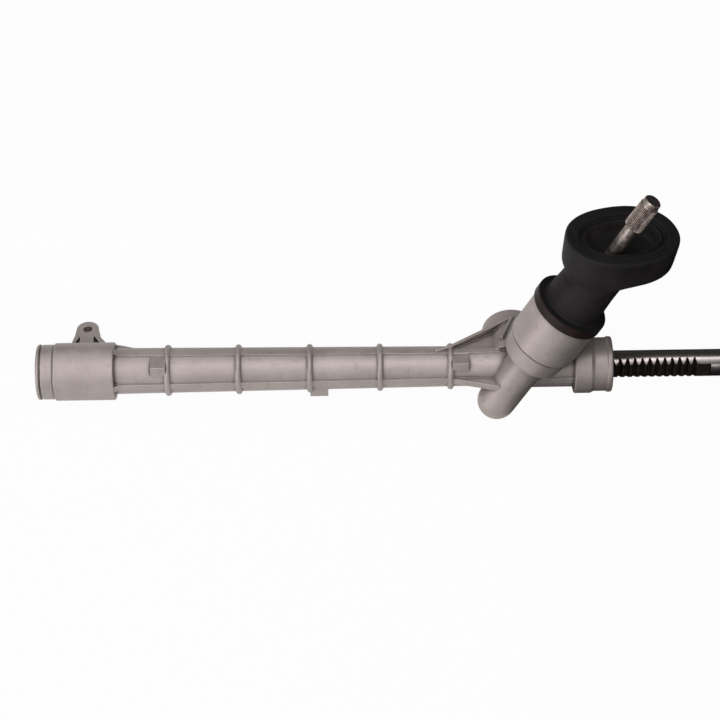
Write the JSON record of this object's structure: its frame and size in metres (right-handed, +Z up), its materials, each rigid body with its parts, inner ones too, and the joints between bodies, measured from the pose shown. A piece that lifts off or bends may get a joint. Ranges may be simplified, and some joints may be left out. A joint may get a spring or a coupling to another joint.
{
  "type": "steering rack",
  "caption": "Rack and pinion steering gear: ribbed cast housing, toothed bar, leaning helical pinion, sprung support yoke and an oval rubber bulkhead seal round the splined input shaft.",
  "frame": {"origin": "middle of the left clamp seat, on the rack bar's axis", "axes": "+X along the bar toward the pinion end, +Z up as the unit lies on a bench on its pinion knob and yoke boss"},
  "size_m": [0.6444, 0.1221, 0.2389],
  "materials": {
    "cast_aluminium": "fine shot-blasted die casting",
    "ground_steel": "ground and induction hardened",
    "turned_steel": "turned, lightly oiled",
    "bearing_steel": "polished",
    "spring_steel": "shot-peened",
    "black_rubber": "moulded, matt",
    "dark_band": "dark brown coating",
    "bush_plastic": "natural",
    "cage_plastic": "natural glass-filled",
    "liner_plastic": "low friction"
  },
  "bodies": {
    "housing": {"rack_housing": "cast_aluminium", "bulkhead_seal": "black_rubber", "seal_band": "dark_band", "rack_bush": "bush_plastic", "bush_rings": "black_rubber", "left_end_stop": "turned_steel", "right_end_stop": "turned_steel", "needle_cup": "bearing_steel", "bearing_outer_race": "bearing_steel", "bearing_circlip": "spring_steel", "pinion_oil_seal": "black_rubber", "yoke_plug": "turned_steel", "yoke_lock_ring": "turned_steel", "yoke_spring": "spring_steel"},
    "rack": {"rack_bar": "ground_steel"},
    "pinion": {"pinion_shaft": "turned_steel", "bearing_inner_race": "bearing_steel", "shaft_circlip": "spring_steel"},
    "ball_set": {"bearing_cage": "cage_plastic", "bearing_balls": "bearing_steel"},
    "needle_set": {"needle_cage": "cage_plastic", "needle_rollers": "bearing_steel"},
    "yoke": {"support_yoke": "cast_aluminium", "yoke_liner": "liner_plastic", "yoke_rings": "black_rubber"}
  },
  "joints": [
    {"name": "rack_slide", "type": "slide", "parent": "housing", "child": "rack", "axis": [1, 0, 0], "range_m": [-0.144, 0]},
    {"name": "pinion_spin", "type": "hinge", "parent": "housing", "child": "pinion", "pos_m": [0.38, -0.01569, 0.00501], "axis": [0.4695, 0.2684, 0.8412], "range_deg": [0, 1122.58]},
    {"name": "ball_set_orbit", "type": "hinge", "parent": "housing", "child": "ball_set", "pos_m": [0.38, -0.01569, 0.00501], "axis": [0.4695, 0.2684, 0.8412], "range_deg": [0, 428.38]},
    {"name": "needle_set_orbit", "type": "hinge", "parent": "housing", "child": "needle_set", "pos_m": [0.38, -0.01569, 0.00501], "axis": [0.4695, 0.2684, 0.8412], "range_deg": [0, 479.42]},
    {"name": "yoke_press", "type": "slide", "parent": "housing", "child": "yoke", "axis": [0, 0.9527, -0.304], "range_m": [0, 0.0001], "stiffness_N_per_m": 40000}
  ],
  "couplings": [
    {"joint": "pinion_spin", "follows": "rack_slide", "rad_per_m": -136.05},
    {"joint": "ball_set_orbit", "follows": "rack_slide", "rad_per_m": -51.916},
    {"joint": "needle_set_orbit", "follows": "rack_slide", "rad_per_m": -58.102}
  ]
}
